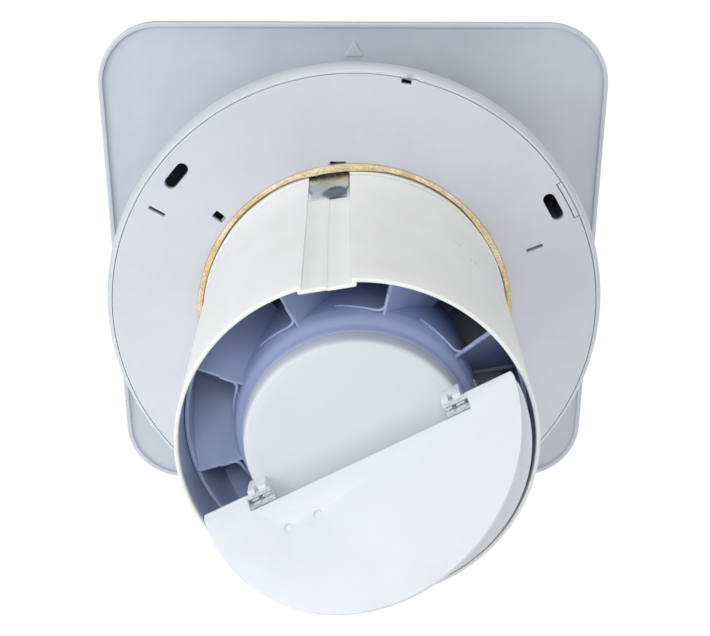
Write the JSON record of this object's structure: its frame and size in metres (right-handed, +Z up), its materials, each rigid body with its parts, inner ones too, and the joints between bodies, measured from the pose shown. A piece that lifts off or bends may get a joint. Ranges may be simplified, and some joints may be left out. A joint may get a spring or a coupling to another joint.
{
  "type": "bathroom extractor fan",
  "caption": "Wall-mounted extractor fan: square cover panel, round casing, duct spigot with foam gasket, motor inside and a two-leaf back-draught shutter.",
  "frame": {"origin": "centre of the duct on the plane of the wall face of the casing and backplate", "axes": "+Y along the duct, away from the room; +Z up; the cover faces the room along -Y"},
  "size_m": [0.174, 0.182, 0.174],
  "materials": {
    "cover_plastic": "smooth white moulding",
    "casing_plastic": "smooth white moulding",
    "ivory_plastic": "warm white moulding",
    "leaf_plastic": "fine matt white moulding",
    "cap_plastic": "fine matt white moulding",
    "carrier_plastic": "blue-grey matt moulding",
    "impeller_plastic": "blue-grey matt moulding",
    "grey_rubber": "matt rubber",
    "ochre_foam": "open-cell foam",
    "spring_steel": "bright spring steel",
    "lamination_steel": "stacked laminations",
    "zinc_steel": "zinc plated",
    "copper_wire": "enamelled copper",
    "fuse_body": "moulded capsule",
    "die_cast": "die-cast aluminium",
    "bronze": "sintered bronze",
    "brass_screw": "plated brass"
  },
  "bodies": {
    "fan_body": {"cover_grommets": "grey_rubber", "inlet_grille": "cover_plastic", "casing": "casing_plastic", "backplate": "casing_plastic", "cable_knockout": "casing_plastic", "foam_gasket": "ochre_foam", "spigot": "ivory_plastic", "spring_clip": "spring_steel", "motor_carrier": "carrier_plastic", "motor_cap": "cap_plastic", "stator_core": "lamination_steel", "coil_bobbins": "leaf_plastic", "windings": "copper_wire", "thermal_fuse": "fuse_body", "front_bracket": "die_cast", "rear_bracket": "die_cast", "front_bearing": "bronze", "rear_bearing": "bronze", "thrust_washers": "ivory_plastic", "motor_dampers": "grey_rubber", "motor_screws": "zinc_steel", "motor_lead": "casing_plastic", "terminal_block": "cap_plastic", "terminal_screws": "brass_screw", "terminal_cover": "casing_plastic", "terminal_cover_screw": "zinc_steel", "cable_clamp": "casing_plastic", "clamp_screws": "zinc_steel", "body_screws": "zinc_steel"},
    "cover": {"front_cover": "cover_plastic"},
    "rotor": {"impeller": "impeller_plastic", "impeller_clip": "spring_steel", "motor_shaft": "spring_steel", "rotor_core": "lamination_steel"},
    "upper_leaf": {"flap_upper": "leaf_plastic"},
    "lower_leaf": {"flap_lower": "leaf_plastic"}
  },
  "joints": [
    {"name": "cover_pull", "type": "slide", "parent": "fan_body", "child": "cover", "axis": [0, -1, 0], "range_m": [0, 0.06]},
    {"name": "rotor_spin", "type": "hinge", "parent": "fan_body", "child": "rotor", "pos_m": [0, 0.05, 0], "axis": [0, 1, 0], "continuous": true},
    {"name": "upper_leaf_swing", "type": "hinge", "parent": "fan_body", "child": "upper_leaf", "pos_m": [0.00068, 0.0942, 0.00128], "axis": [-0.8829, 0, 0.4695], "range_deg": [-126, 0]},
    {"name": "lower_leaf_swing", "type": "hinge", "parent": "fan_body", "child": "lower_leaf", "pos_m": [-0.00068, 0.0942, -0.00128], "axis": [0.8829, 0, -0.4695], "range_deg": [0, 52]}
  ]
}
